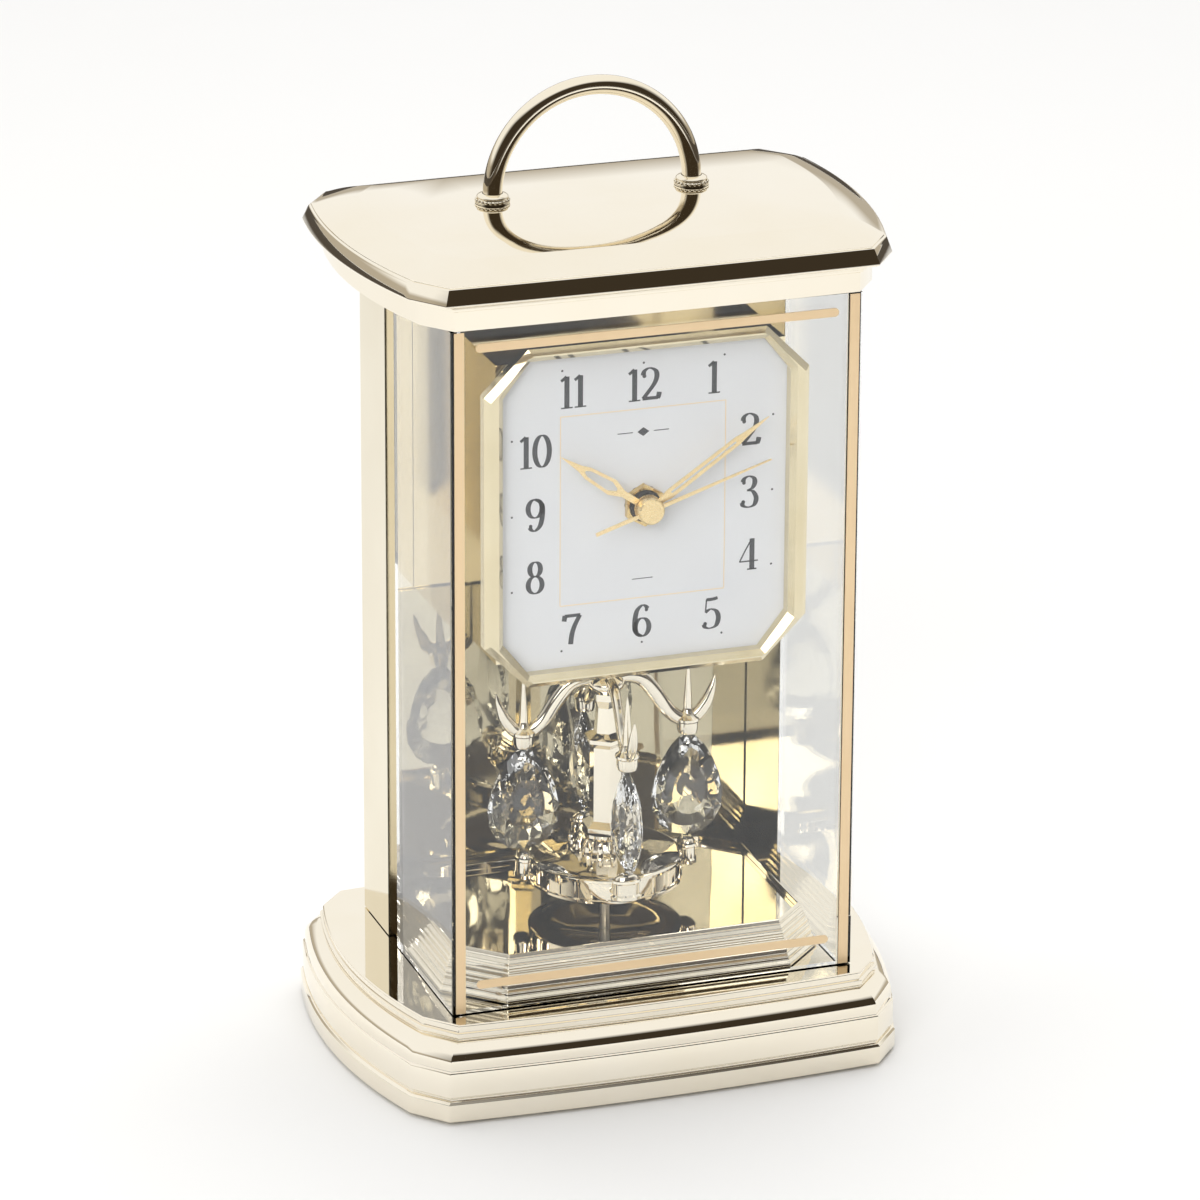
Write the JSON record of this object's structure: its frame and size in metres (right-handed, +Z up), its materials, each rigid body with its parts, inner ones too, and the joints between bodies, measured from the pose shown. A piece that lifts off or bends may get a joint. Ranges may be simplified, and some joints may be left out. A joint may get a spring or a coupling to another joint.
{
  "type": "mantel clock",
  "caption": "Gold-plated quartz mantel clock with a clear case, an eight-sided dial, a turning pendulum hung with cut crystals, and a ring handle on its cap.",
  "frame": {"origin": "middle of the underside, on the surface that the feet stand on", "axes": "+Z up, -Y out of the dial towards the viewer, +X to the right as the dial is read"},
  "size_m": [0.1392, 0.1028, 0.2394],
  "materials": {
    "gold_plated_moulding": "moulded plastic, vacuum plated champagne gold, mirror bright",
    "door_gold": "moulded plastic, champagne gold, satin",
    "mirror_gold": "gold-tinted mirror",
    "clear_acrylic": "clear acrylic, polished",
    "crystal_glass": "cut crystal glass, polished facets",
    "gilt_foil": "hot-stamped gilt foil",
    "dial_white": "fine matt silver-white",
    "hand_gilt": "polished gilt",
    "handle_gold": "bright champagne gold plate",
    "bright_steel": "zinc plated",
    "black_plastic": "fine matt moulding",
    "foot_rubber": "matt",
    "brass": "turned",
    "white_nylon": "natural moulding",
    "copper_wire": "enamelled winding",
    "green_board": "solder resist",
    "cell_jacket": "plain printed sleeve"
  },
  "bodies": {
    "case": {"plinth": "gold_plated_moulding", "bottom_cover": "black_plastic", "front_left_foot": "foot_rubber", "front_right_foot": "foot_rubber", "rear_left_foot": "foot_rubber", "rear_right_foot": "foot_rubber", "front_left_bottom_screw": "bright_steel", "front_right_bottom_screw": "bright_steel", "rear_left_bottom_screw": "bright_steel", "rear_right_bottom_screw": "bright_steel", "pendulum_drive_case": "black_plastic", "pendulum_drive_coil": "copper_wire", "stage": "gold_plated_moulding", "clear_cover": "clear_acrylic", "left_gilt_line": "gilt_foil", "right_gilt_line": "gilt_foil", "upper_gilt_line": "gilt_foil", "lower_gilt_line": "gilt_foil", "rear_housing": "gold_plated_moulding", "back_mirror": "mirror_gold", "movement_compartment": "gold_plated_moulding", "dial_plate": "dial_white", "dial_bezel": "gold_plated_moulding", "dial_nut": "brass", "movement_case": "black_plastic", "movement_cover": "black_plastic", "motor_coil": "copper_wire", "circuit_board": "green_board", "cell": "cell_jacket", "cell_spring": "bright_steel", "cell_contact": "bright_steel", "top_cap": "gold_plated_moulding", "ceiling_panel": "gold_plated_moulding", "handle_ring": "handle_gold", "left_handle_flange": "handle_gold", "right_handle_flange": "handle_gold", "left_handle_nut": "bright_steel", "right_handle_nut": "bright_steel"},
    "minute_works": {"minute_hand": "hand_gilt", "minute_wheel": "brass"},
    "hour_works": {"hour_hand": "hand_gilt", "hour_wheel": "white_nylon"},
    "motion_works": {"motion_wheel": "white_nylon"},
    "setting_works": {"setting_knob": "white_nylon"},
    "second_works": {"second_hand": "hand_gilt", "second_wheel": "white_nylon"},
    "step_works": {"step_wheel": "white_nylon"},
    "rotor_works": {"step_rotor": "bright_steel"},
    "pendulum": {"pendulum_spindle": "bright_steel", "pendulum_magnet": "black_plastic", "pendulum_ring": "gold_plated_moulding", "pendulum_column": "gold_plated_moulding", "pendulum_arms": "gold_plated_moulding", "front_crystal": "crystal_glass", "rear_crystal": "crystal_glass", "left_crystal": "crystal_glass", "right_crystal": "crystal_glass"},
    "door": {"rear_door": "door_gold"}
  },
  "joints": [
    {"name": "minute_hand_turn", "type": "hinge", "parent": "case", "child": "minute_works", "pos_m": [0, -0.03255, 0.1447], "axis": [0, 1, 0], "continuous": true},
    {"name": "hour_hand_turn", "type": "hinge", "parent": "case", "child": "hour_works", "pos_m": [0, -0.03155, 0.1447], "axis": [0, 1, 0], "continuous": true},
    {"name": "motion_wheel_turn", "type": "hinge", "parent": "case", "child": "motion_works", "pos_m": [0.00912, -0.01755, 0.15235], "axis": [0, 1, 0], "continuous": true},
    {"name": "setting_knob_turn", "type": "hinge", "parent": "case", "child": "setting_works", "pos_m": [0.00705, -0.00755, 0.16407], "axis": [0, 1, 0], "continuous": true},
    {"name": "second_hand_turn", "type": "hinge", "parent": "case", "child": "second_works", "pos_m": [0, -0.03355, 0.1447], "axis": [0, 1, 0], "continuous": true},
    {"name": "step_wheel_turn", "type": "hinge", "parent": "case", "child": "step_works", "pos_m": [-0.0085, -0.01255, 0.1478], "axis": [0, 1, 0], "continuous": true},
    {"name": "step_rotor_turn", "type": "hinge", "parent": "case", "child": "rotor_works", "pos_m": [-0.01442, -0.01255, 0.14564], "axis": [0, 1, 0], "continuous": true},
    {"name": "pendulum_turn", "type": "hinge", "parent": "case", "child": "pendulum", "pos_m": [0, -0.00205, 0.04], "axis": [0, 0, 1], "continuous": true},
    {"name": "rear_door_swing", "type": "hinge", "parent": "case", "child": "door", "pos_m": [0, 0.03185, 0.1108], "axis": [-1, 0, 0], "range_deg": [0, 100]}
  ],
  "couplings": [
    {"joint": "hour_hand_turn", "follows": "minute_hand_turn", "ratio": 0.083333},
    {"joint": "motion_wheel_turn", "follows": "minute_hand_turn", "ratio": -0.33333},
    {"joint": "setting_knob_turn", "follows": "minute_hand_turn", "ratio": 1},
    {"joint": "step_wheel_turn", "follows": "second_hand_turn", "ratio": -6},
    {"joint": "step_rotor_turn", "follows": "second_hand_turn", "ratio": 30}
  ]
}
